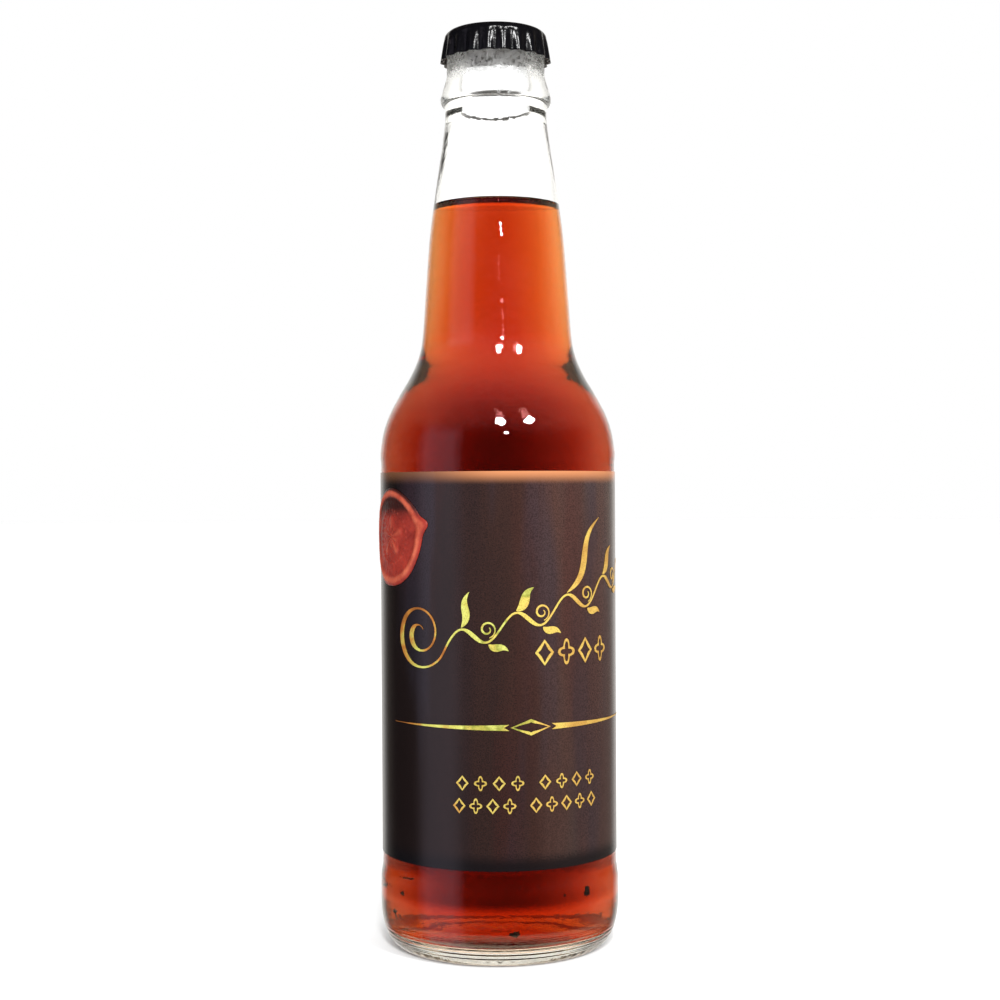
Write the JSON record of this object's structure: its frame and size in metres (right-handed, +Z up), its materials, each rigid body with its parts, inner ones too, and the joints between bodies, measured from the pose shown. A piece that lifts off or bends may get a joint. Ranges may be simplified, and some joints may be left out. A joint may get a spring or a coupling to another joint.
{
  "type": "glass soda bottle",
  "caption": "Long-neck clear glass bottle of red-brown soda with a fluted black crown cap and a dark wrap-around label bearing a wax-style seal and gold ornaments.",
  "frame": {"origin": "centre of the base, on the surface the bottle stands on", "axes": "+Z up along the bottle's axis, the label's front towards -Y"},
  "size_m": [0.0614, 0.0614, 0.235],
  "materials": {
    "clear_glass": "clear, polished",
    "soda_liquid": null,
    "crown_enamel": "gloss black enamel",
    "liner_plastic": "soft, pale grey",
    "label_print": "dark brown print, satin varnish",
    "seal_wax": "red wax, satin",
    "gold_foil": "hot-stamped gold foil, iridescent"
  },
  "bodies": {
    "bottle": {"glass_bottle": "clear_glass", "soda": "soda_liquid", "wrap_label": "label_print", "wax_seal": "seal_wax", "foil_scroll": "gold_foil", "foil_leaf_up_1": "gold_foil", "foil_leaf_up_2": "gold_foil", "foil_leaf_up_3": "gold_foil", "foil_leaf_up_4": "gold_foil", "foil_curl_1": "gold_foil", "foil_curl_2": "gold_foil", "foil_curl_3": "gold_foil", "foil_curl_4": "gold_foil", "foil_leaf_down_1": "gold_foil", "foil_leaf_down_2": "gold_foil", "foil_leaf_down_3": "gold_foil", "foil_leaf_down_4": "gold_foil", "foil_rule_left": "gold_foil", "foil_rule_right": "gold_foil", "foil_lozenge": "gold_foil", "foil_mark_1": "gold_foil", "foil_mark_2": "gold_foil", "foil_mark_3": "gold_foil", "foil_mark_4": "gold_foil", "foil_upper_bead_1": "gold_foil", "foil_upper_bead_2": "gold_foil", "foil_upper_bead_3": "gold_foil", "foil_upper_bead_4": "gold_foil", "foil_upper_bead_5": "gold_foil", "foil_upper_bead_6": "gold_foil", "foil_upper_bead_7": "gold_foil", "foil_upper_bead_8": "gold_foil", "foil_lower_bead_1": "gold_foil", "foil_lower_bead_2": "gold_foil", "foil_lower_bead_3": "gold_foil", "foil_lower_bead_4": "gold_foil", "foil_lower_bead_5": "gold_foil", "foil_lower_bead_6": "gold_foil", "foil_lower_bead_7": "gold_foil", "foil_lower_bead_8": "gold_foil", "foil_lower_bead_9": "gold_foil"},
    "crown": {"crown_shell": "crown_enamel", "crown_liner": "liner_plastic"}
  },
  "joints": [
    {"name": "crown_lift", "type": "slide", "parent": "bottle", "child": "crown", "axis": [0, 0, 1], "range_m": [0, 0.03]}
  ]
}
